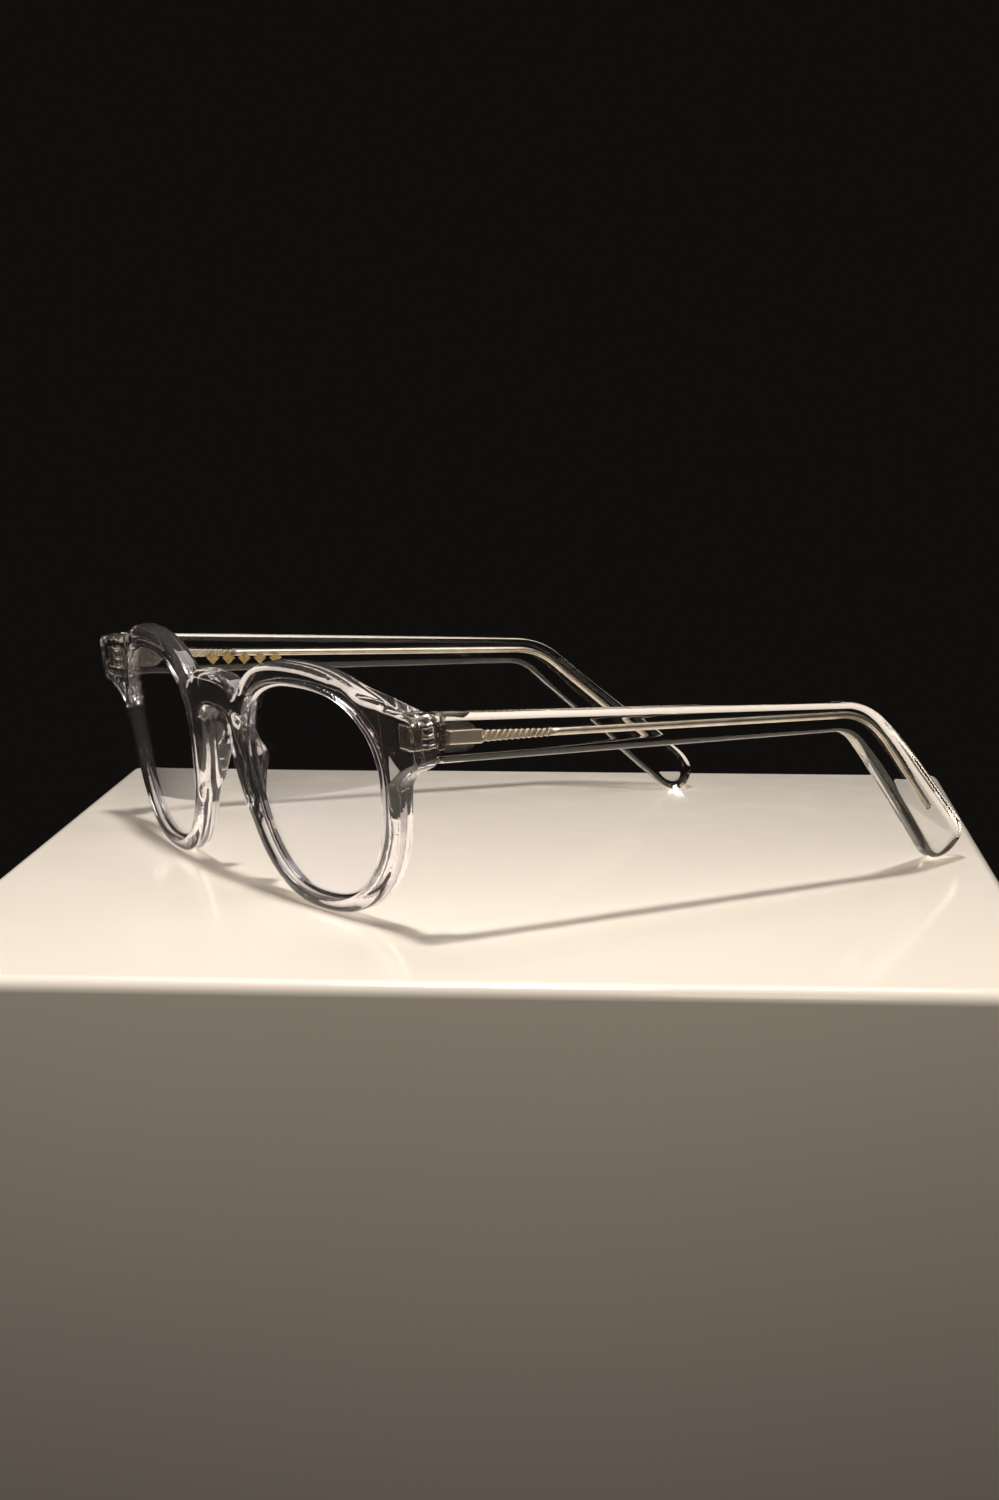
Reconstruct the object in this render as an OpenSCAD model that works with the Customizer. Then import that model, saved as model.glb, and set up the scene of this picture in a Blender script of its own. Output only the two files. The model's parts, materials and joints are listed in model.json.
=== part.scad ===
// Eyeglasses with a clear acetate frame, cored folding temples and five-barrel hinges.
// +X is the wearer's left, the lenses face -Y, the temples run back along +Y and +Z is up.
// The frame stands on its rim bottoms and temple tips at z = 0.

/* [Lenses] */
// Width of a lens opening at its middle height
eye_w = 43.8; // [40:0.1:47]
// Height of a lens opening
eye_h = 38.6; // [30:0.1:44]
// Distance between the two eye centres
eye_spacing = 70; // [67:0.5:86]
// Squareness of the opening, where 2 is an ellipse
eye_square = 2.45; // [2:0.05:3]
// How much wider the opening is at the top than at the middle, as a share
eye_taper = 0.13; // [0:0.01:0.2]
// Shift of the opening's top towards the nose
eye_lean = 1.2; // [0:0.1:2]
// Lens thickness
lens_t = 1.8; // [1.2:0.1:2.2]
// Depth of the groove that holds the lens edge
groove_depth = 0.7; // [0.4:0.1:1]

/* [Front] */
// Thickness of the front
front_t = 4.3; // [3.6:0.1:5.5]
// Radius of the front's curve, seen from above
front_r = 290; // [200:5:500]
// Forward lean of the front's top, in degrees
front_tilt = 7.8; // [4:0.1:12]
// Rim width above the lens
rim_top = 3.9; // [3:0.1:6]
// Rim width below the lens
rim_bottom = 2.6; // [2:0.1:4]
// Rim width beside the lens
rim_side = 3.6; // [2.6:0.1:5]

/* [Bridge] */
// Height of the bridge's top over the rim bottoms
bridge_top = 40.3; // [39:0.1:42]
// Depth of the notch between the bridge and each rim
bridge_dip = 2.9; // [1:0.1:4]
// Height of the top of the nose arch
nose_top = 33.2; // [31:0.1:35]
// Half the width of the nose gap under the arch
nose_half = 6.2; // [5:0.1:8]
// How far each nose flank spreads towards its foot
nose_flare = 5.2; // [4:0.1:6.5]
// How far each nose pad stands behind the front
pad_depth = 3.2; // [2.4:0.1:5]

/* [End pieces] */
// How far each end piece stands out past its lens opening
end_out = 15.3; // [13:0.1:19]
// Height of an end piece's top at its outer end
end_top = 39.2; // [38:0.1:41]
// Height of an end piece's lower corner
end_bottom = 30.1; // [28:0.1:31]
// Depth of an end piece, from its front face back to its joint face
joint_depth = 3.9; // [3.6:0.1:5]

/* [Temples] */
// Temple thickness
temple_t = 4; // [3.4:0.1:5]
// Temple height above its core at the hinge
temple_up = 4.5; // [3.5:0.1:5.5]
// Temple height below its core at the hinge
temple_down = 4.3; // [3.5:0.1:5.5]
// Temple height above its core at the bend
bend_up = 2.5; // [2:0.1:4]
// Temple height below its core at the bend
bend_down = 3; // [2:0.1:4]
// Distance from the hinge pin to the bend
bend_at = 88; // [70:0.5:110]
// Angle of the bend, in degrees
bend_turn = 39.5; // [30:0.5:50]
// Inward angle of the open temples, in degrees
temple_in = 5.8; // [3:0.1:8]
// Downward slope of the temples, in degrees
temple_slope = 2; // [0:0.1:4]
// Inward lean of a tip, as a share of its drop
tip_lean = 0.413; // [0.2:0.01:0.5]
// Width of the paddle at the temple's tip
tip_w = 9.2; // [7:0.1:11]

/* [Hinges] */
// Height of the five knuckles together
hinge_h = 4.3; // [3.6:0.1:5]
// Outer radius of the knuckles
knuckle_r = 1.45; // [1.2:0.05:1.45]
// Radius of the hinge screw
screw_r = 0.6; // [0.5:0.05:0.7]
// Length of the plate let into the temple
plate_len = 6.6; // [5:0.1:9]
// Height of the plate let into the temple
plate_h = 5; // [4.4:0.1:5.6]
// Depth of the prongs inside the end piece
anchor_depth = 2.7; // [2:0.1:2.9]

/* [Temple core] */
// Height of the flat shank
shank_h = 2.4; // [1.8:0.1:3]
// Thickness of the flat shank
shank_t = 1.1; // [0.8:0.1:1.2]
// Diameter of the wire behind the ribs
wire_d = 1.3; // [0.9:0.1:1.5]
// Number of slanting ribs
rib_count = 12; // [6:1:14]
// Distance from one rib to the next
rib_pitch = 1.2; // [0.9:0.1:1.6]

/* [Foil mark] */
// Distance from the hinge pin to the first lozenge of the mark
mark_at = 17; // [12:0.5:40]
// Number of lozenges in the mark
mark_count = 5; // [3:1:7]
// Height of a lozenge
mark_h = 2.8; // [1.4:0.1:3]
// Height of the mark's middle over the core
mark_up = -1; // [-1.5:0.1:1.5]

/* [Hidden] */
$fn = 64;
// Free room between the joint faces and between moving metal parts
joint_gap = 0.15;
knuckle_gap = 0.05;
pin_clearance = 0.03;
foil_t = 0.05;

// Eye outline
eye_x = eye_spacing / 2;
eye_v = rim_bottom + eye_h / 2;
eye_steps = 72;
lens_front = (front_t - lens_t) / 2;

// Outline limits of the bridge and end pieces
bridge_root = max(eye_x - eye_w / 2 - 0.1, nose_half + nose_flare + 0.6);
notch_x = bridge_root - 2.5;
flank_low = 14.2;
arch_rise = 3.2;
flank_top = nose_top - arch_rise;
brow_run = 23.9;
brow_rise = 4;
ledge_run = 11.3;
ledge_drop = 4.6;
end_round = 1.5;
end_inner = eye_x + eye_w / 2 + rim_side;
end_x = eye_x + eye_w / 2 + end_out;
end_front = curve_y(end_inner) - 0.08;
joint_back = end_front + joint_depth;
root_x = eye_x + eye_w / 2 + rim_side / 3;

// Nose pads, as three points of the front's own plane
pad_r = 1.9;
pad_top = [nose_half + 1.9, front_t - 0.2, nose_top - 3.6];
pad_mid = [nose_half + 2.7, front_t + pad_depth - pad_r, nose_top - 8.6];
pad_low = [nose_half + 4.6, front_t + pad_depth / 2 - pad_r, nose_top - 14.2];
curve_steps = 12;

// The front stands on its lowest edge
front_lift = -min([for (p = rim_outline()) curve_y(p[0]) * sin(front_tilt) + p[1] * cos(front_tilt)]);

// Hinge pin, as a point of the row frame before centring
pin_inset = 1.5;
pin_back = 2;
pin_v = (end_top + end_bottom) / 2;
pin_n = temple_t + pin_inset;
hinge_y = joint_back * cos(front_tilt) - pin_v * sin(front_tilt) + pin_back + pin_n * sin(temple_in);
hinge_z = joint_back * sin(front_tilt) + pin_v * cos(front_tilt) + front_lift;
knuckle_pitch = hinge_h / 5;
knuckle_len = knuckle_pitch - knuckle_gap;

// Cross plate at the prongs' front ends: width, thickness and overhang
cross_w = 3.6;
cross_t = 1.1;
cross_over = 0.1;

// Plate let into the temple, and the screw's slotted head
plate_t = 1;
plate_gap = 0.2;
head_r = 1.15;
head_h = 0.5;
slot_w = 0.3;

// Temple profile: distance along the temple and height over its core
end_reach = 7;
bend_top_r = 17;
bend_low_r = 9;
bend_flare = 1.7;
cap_len = 5.6;
cap_square = 2.4;
kink = -5;
top_turn = bend_turn - bend_flare;
low_turn = bend_turn + bend_flare;
top_end = [bend_at + bend_top_r * sin(top_turn), bend_up - bend_top_r * (1 - cos(top_turn))];
low_start = bend_at - 2;
low_end = [low_start + bend_low_r * sin(low_turn), -bend_down - bend_low_r * (1 - cos(low_turn))];
along = [cos(bend_turn), -sin(bend_turn)];
across = [sin(bend_turn), cos(bend_turn)];
first_len = 33;
tip_len = first_len + tip_low(first_len) / sin(bend_turn + temple_slope);

// Temple core
core_n = -temple_t + plate_t + shank_t / 2;
shank_end = 7.4;
ribs_end = shank_end + rib_count * rib_pitch;
ribs_low = wire_d * 1.2;
rib_lean = 40;
wire_bend_r = 15;
wire_end = 12;
wire_turned = [bend_at + wire_bend_r * sin(bend_turn), -wire_bend_r * (1 - cos(bend_turn))];
wire_kink = wire_turned + along * (wire_turned[1] - kink) / sin(bend_turn);

// Middle of the object along Y, which becomes y = 0
front_edge = min([for (p = rim_outline()) curve_y(p[0]) * cos(front_tilt) - p[1] * sin(front_tilt)]);
back_edge = hinge_y + max([for (p = tip_cap(tip_len))
    p[0] * cos(temple_in) * cos(temple_slope) + lean_n(p[1]) * sin(temple_in)]);
y_mid = (front_edge + back_edge) / 2;

// ---- Curves ----

// Signed power, which turns a circle's coordinate into a squarer outline's
function spow(v, n) = sign(v) * pow(abs(v), 2 / n);

// Outline of an eye, grown sideways, upwards and downwards
function eye_outline(side, up, down) = [
    for (i = [0:eye_steps - 1])
        let (t = 360 * i / eye_steps,
             c = spow(cos(t), eye_square),
             s = spow(sin(t), eye_square))
        [eye_x + (eye_w / 2 + side) * c * (1 + eye_taper * s) - eye_lean * pow(max(0, s), 2),
         eye_v + (eye_h / 2 + (s > 0 ? up : down)) * s]
];
function rim_outline() = eye_outline(rim_side, rim_top, rim_bottom);

// Depth of the front's curved face behind its middle, at a distance x from the middle
function curve_y(x) = front_r - sqrt(front_r * front_r - x * x);

// Brow line and lower ledge of an end piece
function brow(x) = end_top + brow_rise * pow((end_x - x) / brow_run, 2);
function ledge(x) = end_bottom - ledge_drop * pow((end_x - x) / ledge_run, 1.4);

function arc(centre, r, from, to, steps) = [
    for (i = [0:steps]) centre + r * [cos(from + (to - from) * i / steps), sin(from + (to - from) * i / steps)]
];

// Sideways place of a temple's outer face at a height over its core
function lean_n(w) = min(0, w - kink) * tip_lean;

// Rounded end of the paddle, from its top edge round to its lower edge
function tip_cap(len) =
    let (top = top_end + len * [cos(top_turn), -sin(top_turn)],
         mid = top - across * tip_w / 2)
    [for (i = [0:curve_steps])
        let (t = 90 - 180 * i / curve_steps)
        mid + along * cap_len * spow(cos(t), cap_square) + across * tip_w / 2 * spow(sin(t), cap_square)];
function tip_low(len) = hinge_z
    + min([for (p = tip_cap(len)) p[1] * cos(temple_slope) - p[0] * sin(temple_slope)]);

// ---- Places ----

module centred() {
    translate([0, -y_mid, 0]) children();
}

// The front's own plane: X across, Y back through the front, Z up along it
module in_front() {
    centred() translate([0, 0, front_lift]) rotate([front_tilt, 0, 0]) children();
}

// A temple's own axes at the pin's height: X out from its outer face, Y along it
module in_temple() {
    centred() translate([end_x, hinge_y, hinge_z]) rotate([-temple_slope, 0, temple_in]) children();
}

// A hinge's axes: Z along the pin
module in_hinge() {
    in_temple() translate([-pin_n, 0, 0]) children();
}

// Turns an outline in the X-Z plane into a prism that runs back along Y
module prism_y(from, to) {
    translate([0, to, 0]) rotate([90, 0, 0]) linear_extrude(to - from) children();
}

// A shell of the front's curve, between two depths
module curved_slab(from, to) {
    translate([0, front_r, -10]) difference() {
        cylinder(r = front_r - from, h = 70, $fn = 360);
        translate([0, 0, -1]) cylinder(r = front_r - to, h = 72, $fn = 360);
    }
}

// ---- Front ----

module eye_shape(grow) {
    polygon(eye_outline(grow, grow, grow));
}

module bridge_shape() {
    polygon(concat(
        [for (i = [-curve_steps:curve_steps])
            let (x = notch_x * i / curve_steps) [x, bridge_top - bridge_dip * pow(x / notch_x, 4)]],
        [[bridge_root, bridge_top - bridge_dip], [bridge_root, flank_low]],
        [for (i = [0:curve_steps])
            let (k = 1 - i / curve_steps) [nose_half + nose_flare * k * k, flank_top - (flank_top - flank_low) * k]],
        [for (i = [1:curve_steps - 1])
            let (t = 180 * i / curve_steps) [nose_half * cos(t), flank_top + arch_rise * sin(t)]],
        [for (i = [0:curve_steps])
            let (k = i / curve_steps) [-nose_half - nose_flare * k * k, flank_top - (flank_top - flank_low) * k]],
        [[-bridge_root, flank_low], [-bridge_root, bridge_top - bridge_dip]]
    ));
}

module end_shape() {
    inner = end_x - brow_run;
    outer = end_x - end_round;
    low = end_x - ledge_run;
    polygon(concat(
        [for (i = [0:curve_steps]) let (x = inner + (outer - inner) * i / curve_steps) [x, brow(x)]],
        arc([outer, end_top - end_round], end_round, 75, 0, 5),
        arc([outer, end_bottom + end_round], end_round, 0, -75, 5),
        [for (i = [0:curve_steps]) let (x = outer + (low - outer) * i / curve_steps) [x, ledge(x)]],
        [[root_x, eye_v - 2], [root_x, eye_v + eye_h / 4]]
    ));
}

// The front's outline, as deep as the joint faces
module front_prism() {
    difference() {
        union() {
            prism_y(-2, joint_back) bridge_shape();
            for (m = [0, 1]) mirror([m, 0, 0]) {
                prism_y(-2, joint_back) polygon(rim_outline());
                prism_y(-2, joint_back) end_shape();
            }
        }
        for (m = [0, 1]) mirror([m, 0, 0]) prism_y(-3, joint_back + 1) eye_shape(0);
    }
}

module front() {
    color([0.85, 0.85, 0.9, 0.6]) difference() {
        in_front() intersection() {
            front_prism();
            union() {
                curved_slab(0, front_t);
                for (m = [0, 1]) mirror([m, 0, 0])
                    translate([end_inner, end_front, 0]) cube([20, joint_back, 60]);
            }
        }
        for (m = [0, 1]) mirror([m, 0, 0]) {
            groove();
            hinge_anchor();
        }
    }
}

// Room for the lens with its edge in the groove
module groove() {
    in_front() intersection() {
        prism_y(-2, 20) eye_shape(groove_depth);
        curved_slab(lens_front, lens_front + lens_t);
    }
}

module lens() {
    color([0.9, 0.9, 1, 0.3]) groove();
}

module nose_pad() {
    color([0.85, 0.85, 0.9, 0.6])
    in_front() intersection() {
        translate([0, front_r, 0]) cylinder(r = front_r - front_t, h = 60, $fn = 360);
        hull() {
            for (p = [pad_top, pad_mid, pad_low]) translate(p) sphere(r = pad_r, $fn = 24);
        }
    }
}

// ---- Hinges ----

// One knuckle's place along the pin, counted from the lowest
function knuckle_z(k) = -hinge_h / 2 + k * knuckle_pitch + knuckle_gap / 2;
// The metal inside the end piece: three prongs that end in a cross plate
module hinge_anchor() {
    in_hinge() {
        for (k = [0, 2, 4])
            translate([-knuckle_r, -pin_back - anchor_depth, knuckle_z(k)])
                cube([2 * knuckle_r, pin_back + anchor_depth, knuckle_len]);
        translate([-cross_w / 2, -pin_back - anchor_depth, -hinge_h / 2 - cross_over])
            cube([cross_w, cross_t, hinge_h + 2 * cross_over]);
    }
}

module hinge_front() {
    color("silver") difference() {
        union() {
            hinge_anchor();
            in_hinge() for (k = [0, 2, 4])
                translate([0, 0, knuckle_z(k)]) cylinder(r = knuckle_r, h = knuckle_len);
        }
        in_hinge() translate([0, 0, -hinge_h]) cylinder(r = screw_r, h = 2 * hinge_h);
    }
}

module plate_shape() {
    half = plate_h / 2;
    polygon(concat(
        [[plate_gap, -half]],
        arc([plate_len - half, 0], half, -90, 90, 16),
        [[plate_gap, half]]
    ));
}

// Plate let into the temple's inner face
module hinge_plate() {
    in_hinge() translate([pin_inset, 0, 0]) rotate([90, 0, 90]) linear_extrude(plate_t) plate_shape();
}

module hinge_temple() {
    color("silver") difference() {
        union() {
            hinge_plate();
            in_hinge() for (k = [1, 3]) translate([0, 0, knuckle_z(k)]) {
                cylinder(r = knuckle_r, h = knuckle_len);
                translate([0, plate_gap, 0]) cube([pin_inset + plate_t / 2, knuckle_r, knuckle_len]);
            }
        }
        in_hinge() translate([0, 0, -hinge_h]) cylinder(r = screw_r + pin_clearance, h = 2 * hinge_h);
    }
}

module hinge_screw() {
    color("gray") in_hinge() difference() {
        union() {
            translate([0, 0, -hinge_h / 2]) cylinder(r = screw_r, h = hinge_h);
            translate([0, 0, hinge_h / 2]) cylinder(r = head_r, h = head_h);
        }
        translate([-head_r, -slot_w / 2, (hinge_h + head_h) / 2]) cube([2 * head_r, slot_w, head_h]);
    }
}

// ---- Temples ----

// The temple seen from its side
module temple_profile() {
    polygon(concat(
        [[-end_reach, temple_up]],
        arc([bend_at, bend_up - bend_top_r], bend_top_r, 90, 90 - top_turn, curve_steps),
        tip_cap(tip_len),
        arc([low_start, -bend_down - bend_low_r], bend_low_r, 90 - low_turn, 90, curve_steps),
        [[-end_reach, -temple_down]]
    ));
}

// The temple seen along its length: upright above the bend, leaning below it
module temple_section() {
    drop = 50;
    polygon([
        [0, 20], [0, kink], [lean_n(kink - drop), kink - drop],
        [lean_n(kink - drop) - temple_t, kink - drop], [-temple_t, kink], [-temple_t, 20]
    ]);
}

module temple() {
    color([0.85, 0.85, 0.9, 0.6]) difference() {
        in_temple() intersection() {
            translate([-40, 0, 0]) rotate([90, 0, 90]) linear_extrude(60) temple_profile();
            prism_y(-10, bend_at * 2) temple_section();
        }
        in_front() translate([0, -20, 0]) cube([100, joint_back + joint_gap + 20, 60]);
        hinge_plate();
        core_metal();
    }
}

// A slanting rib across the core's ribbed stretch
module core_rib(i) {
    h = shank_h - (shank_h - ribs_low) * (i + 0.5) / rib_count;
    translate([core_n, shank_end + (i + 0.5) * rib_pitch, 0]) rotate([-rib_lean, 0, 0])
        cube([shank_t, rib_pitch * 0.45, h], center = true);
}

// Thin tapering web that joins the ribs
module core_web() {
    web_t = shank_t / 2;
    root = shank_h * 0.38;
    end = wire_d * 0.45;
    translate([core_n - web_t / 2, 0, 0]) rotate([90, 0, 90]) linear_extrude(web_t)
        polygon([[shank_end - 0.3, -root], [ribs_end + 0.3, -end], [ribs_end + 0.3, end], [shank_end - 0.3, root]]);
}

module core_metal() {
    down = [-tip_lean * sin(bend_turn), cos(bend_turn), -sin(bend_turn)];
    wire_r = wire_d / 2;
    in_temple() {
        translate([core_n - shank_t / 2, 0.5, -shank_h / 2]) cube([shank_t, shank_end - 0.5, shank_h]);
        for (i = [0:rib_count - 1]) core_rib(i);
        core_web();
        translate([core_n, ribs_end, 0]) rotate([-90, 0, 0]) cylinder(r = wire_r, h = bend_at - ribs_end);
        translate([core_n, bend_at, -wire_bend_r]) rotate([90, 0, 90]) rotate([0, 0, 90 - bend_turn])
            rotate_extrude(angle = bend_turn) translate([wire_bend_r, 0]) circle(r = wire_r, $fn = 32);
        translate([core_n, wire_turned[0], wire_turned[1]]) rotate([-90 - bend_turn, 0, 0])
            cylinder(r = wire_r, h = norm(wire_kink - wire_turned));
        for (p = [[bend_at, 0], wire_turned, wire_kink])
            translate([core_n, p[0], p[1]]) sphere(r = wire_r * 1.05);
        translate([core_n, wire_kink[0], wire_kink[1]])
            rotate([0, acos(down[2] / norm(down)), atan2(down[1], down[0])])
                cylinder(r = wire_r, h = (tip_len - wire_end) * norm(down));
    }
}

module core_wire() {
    color("silver") core_metal();
}

// A row of plain gold lozenges on the temple's inner face
module foil_mark() {
    pitch = mark_h * 1.25;
    color("gold") in_temple() for (i = [0:mark_count - 1])
        translate([-temple_t - foil_t / 2, mark_at + i * pitch, mark_up]) rotate([45, 0, 0])
            cube([foil_t, mark_h / sqrt(2), mark_h / sqrt(2)], center = true);
}

module right() {
    mirror([1, 0, 0]) children();
}

front();
lens();  // lens_left
right() lens();  // lens_right
nose_pad();  // nose_pad_left
right() nose_pad();  // nose_pad_right
hinge_front();  // hinge_front_left
right() hinge_front();  // hinge_front_right
hinge_screw();  // hinge_screw_left
right() hinge_screw();  // hinge_screw_right
hinge_temple();  // hinge_temple_left
right() hinge_temple();  // hinge_temple_right
core_wire();  // core_wire_left
right() core_wire();  // core_wire_right
temple();  // temple_left
right() temple();  // temple_right
right() foil_mark();  // foil_mark_right
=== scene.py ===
"""Looks of a pair of eyeglasses: clear acetate front and temples, coated lenses and cored metal hinges."""
import json
import math

import bpy
import numpy as np
from mathutils import Matrix, Vector


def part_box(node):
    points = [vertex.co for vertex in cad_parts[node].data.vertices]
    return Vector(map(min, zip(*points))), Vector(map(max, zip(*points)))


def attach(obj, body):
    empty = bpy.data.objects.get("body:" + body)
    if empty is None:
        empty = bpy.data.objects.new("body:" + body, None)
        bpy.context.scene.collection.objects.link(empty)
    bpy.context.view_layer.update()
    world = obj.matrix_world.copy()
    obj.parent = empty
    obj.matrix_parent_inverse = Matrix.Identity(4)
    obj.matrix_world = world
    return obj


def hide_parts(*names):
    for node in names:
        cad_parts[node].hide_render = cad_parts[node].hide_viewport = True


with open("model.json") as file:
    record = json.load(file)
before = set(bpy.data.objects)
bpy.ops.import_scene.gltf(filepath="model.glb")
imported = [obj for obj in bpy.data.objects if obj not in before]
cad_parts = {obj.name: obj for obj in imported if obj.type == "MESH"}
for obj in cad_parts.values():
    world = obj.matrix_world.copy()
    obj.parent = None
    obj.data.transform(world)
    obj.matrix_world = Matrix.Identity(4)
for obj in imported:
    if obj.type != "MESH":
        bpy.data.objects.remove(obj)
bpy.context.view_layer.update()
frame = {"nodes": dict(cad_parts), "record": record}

# ---- Design sizes, in millimetres, as in the CAD source ----
MM = 0.001
# Eyes and rims: a squared oval that is wider and leans inward at its top
EYE_W, EYE_H, EYE_X = 43.8, 38.6, 35.0
EYE_SQUARE, EYE_TAPER, EYE_LEAN = 2.45, 0.13, 1.2
RIM_TOP, RIM_BOTTOM, RIM_SIDE = 3.9, 2.6, 3.6
EYE_V = RIM_BOTTOM + EYE_H / 2
# The front's sheet: its thickness, its curve seen from above and its tilt
FRONT_T, FRONT_R, FRONT_TILT = 4.3, 290.0, math.radians(7.8)
# Lenses and the groove that holds them
LENS_T, GROOVE, LENS_SLACK = 1.8, 0.7, 0.06
# Bridge, nose gap and nose pads
BRIDGE_TOP, BRIDGE_DIP, BRIDGE_ROOT, NOTCH_X = 40.3, 2.9, 13.0, 10.5
NOSE_TOP, NOSE_HALF, NOSE_FLARE, FLANK_LOW, ARCH_RISE = 33.2, 6.2, 5.2, 14.2, 3.2
PAD_DEPTH, PAD_R, PAD_SINK = 3.2, 1.9, 0.2
PAD_SIDES, PAD_DROPS = (1.9, 2.7, 4.6), (3.6, 8.6, 14.2)
# End pieces, with the brow over them and the ledge under them
END_X, END_TOP, END_BOTTOM, END_ROUND = 72.2, 39.2, 30.1, 1.5
END_INNER, END_FRONT, JOINT_BACK = 60.5, 6.3, 10.2
BROW_RUN, BROW_RISE, LEDGE_RUN, LEDGE_DROP, LEDGE_BOW = 23.9, 4.0, 11.3, 4.6, 1.4
# Temples: the bar, the bend behind the ear and the tip
TEMPLE_T, TEMPLE_UP, TEMPLE_DOWN, BEND_UP, BEND_DOWN = 4.0, 4.5, 4.3, 2.5, 3.0
BEND_AT, BEND_TURN, BEND_FLARE = 88.0, math.radians(39.5), math.radians(1.7)
BEND_TOP_R, BEND_LOW_R, BEND_LEAD, KINK, TIP_LEAN = 17.0, 9.0, 2.0, -5.0, 0.413
LEAN_BEFORE, LEAN_RUN, KINK_SOFT = 8.0, 14.0, 5.0
TIP_W, CAP_LEN, CAP_SQUARE = 9.2, 5.6, 2.4
# Joint between the front and a temple
PIN_INSET, PIN_BACK, JOINT_GAP, JOINT_ROUND = 1.5, 2.0, 0.15, 0.14
# Hinges
HINGE_H, KNUCKLES, KNUCKLE_R, KNUCKLE_GAP, SCREW_R = 4.3, 5, 1.45, 0.05, 0.6
ANCHOR_DEPTH, CROSS_W, CROSS_T, CROSS_OVER = 2.7, 3.6, 1.1, 0.1
# Cores of the temples: a flat shank, slanting ribs and a round wire
SHANK_H, SHANK_T, SHANK_START, SHANK_END = 2.4, 1.1, 0.5, 7.4
RIB_COUNT, RIB_PITCH, RIB_LEAN = 12, 1.2, math.radians(40)
WIRE_D, WIRE_BEND_R, WIRE_END = 1.3, 15.0, 12.0
RIBS_LOW, RIBS_END = WIRE_D * 1.2, SHANK_END + RIB_COUNT * RIB_PITCH
CORE_N = -TEMPLE_T + 1 + SHANK_T / 2

# ---- Finishing radii and blends, in millimetres ----
BLEND_BRIDGE, BLEND_BLOCK, BLEND_PAD, PAD_ELBOW = 1.4, 1.2, 2.2, 1.2
BLEND_END, BLEND_LEDGE, LEDGE_FADE = 0.3, 3.2, 4.0
OPENING_ROUND, TEMPLE_ROUND = 0.7, 1.35
# Edge radius at an end piece, and what the rims and the front face add to it
EDGE_END, EDGE_RIM_ADD, FACE_ADD, FACE_RIM_ADD = 0.6, 0.3, 0.3, 0.6
EDGE_FADE_X, EDGE_FADE_RUN = 56.0, 8.0

# ---- Fineness of the meshes, in millimetres ----
FRONT_STEP = 0.32
TEMPLE_STEP = 0.34
CORE_STEP, HINGE_STEP, SHEET_STEP = 0.1, 0.09, 0.2
# Low and high corners of the boxes in which the fields are sampled, each in its piece's own axes
FRONT_SHEET_BOX = (-1, -4), (76, 50)
FRONT_MESH_BOX = (-74.1, -1.6, -1.7), (74.1, 16.2, 48.7)
TEMPLE_SHEET_BOX = (-9, -36), (136, 10)
TEMPLE_MESH_BOX = (-16.6, -2.4, -34.2), (0.9, 134.4, 5.7)
CORE_MESH_BOX = (CORE_N - 1, -0.2, -1.8), (CORE_N + 1, 23.4, 1.8)
HINGE_MESH_BOX = (-2.1, -5.0, -2.6), (2.1, 1.8, 2.6)

SIDES = ("left", "right")

# ---- Places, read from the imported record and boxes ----
joints = {j["name"]: j for j in frame["record"]["behaviour"]["joints"]}
mounts = {m["name"]: m for m in frame["record"]["mounts"]}
outward = Vector(mounts["temple_face_left"]["axis"])
temple_in = math.atan2(outward.y, outward.x)
pin = Vector(joints["fold_left"]["pos_m"]) / MM
pin_axis = Vector(joints["fold_left"]["axis"])
temple_slope = math.asin(math.hypot(pin_axis.x, pin_axis.y))
TEMPLE_FRAME = (Matrix.Translation(pin + outward * (TEMPLE_T + PIN_INSET))
                @ Matrix.Rotation(temple_in, 4, "Z") @ Matrix.Rotation(-temple_slope, 4, "X"))


def curve_y(x):
    """Depth of the front's curved face behind its middle."""
    return FRONT_R - np.sqrt(FRONT_R ** 2 - np.asarray(x, float) ** 2)


def spow(v, n):
    """Signed power that squares off a circle's coordinate."""
    return np.sign(v) * np.abs(v) ** (2 / n)


def eye_outline(side, up, down, count=240):
    """Outline of the left eye, grown sideways, upwards and downwards."""
    t = np.linspace(0, 2 * np.pi, count, endpoint=False)
    c, s = spow(np.cos(t), EYE_SQUARE), spow(np.sin(t), EYE_SQUARE)
    x = EYE_X + (EYE_W / 2 + side) * c * (1 + EYE_TAPER * s) - EYE_LEAN * np.maximum(0, s) ** 2
    v = EYE_V + (EYE_H / 2 + np.where(s > 0, up, down)) * s
    return np.stack([x, v], 1)


rim = eye_outline(RIM_SIDE, RIM_TOP, RIM_BOTTOM)
front_y = (curve_y(rim[:, 0]) * math.cos(FRONT_TILT) - rim[:, 1] * math.sin(FRONT_TILT)).min()
front_lift = -(curve_y(rim[:, 0]) * math.sin(FRONT_TILT) + rim[:, 1] * math.cos(FRONT_TILT)).min()
front_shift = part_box("front")[0].y / MM - front_y
FRONT_FRAME = Matrix.Translation((0, front_shift, front_lift)) @ Matrix.Rotation(FRONT_TILT, 4, "X")
MIRROR = Matrix.Scale(-1, 4, (1, 0, 0))


def on_side(matrix, side):
    """Placement of a left piece, or of its mirror image on the right."""
    return matrix if side == "left" else MIRROR @ matrix


# ---- Distance fields: negative inside, in millimetres ----

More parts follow.
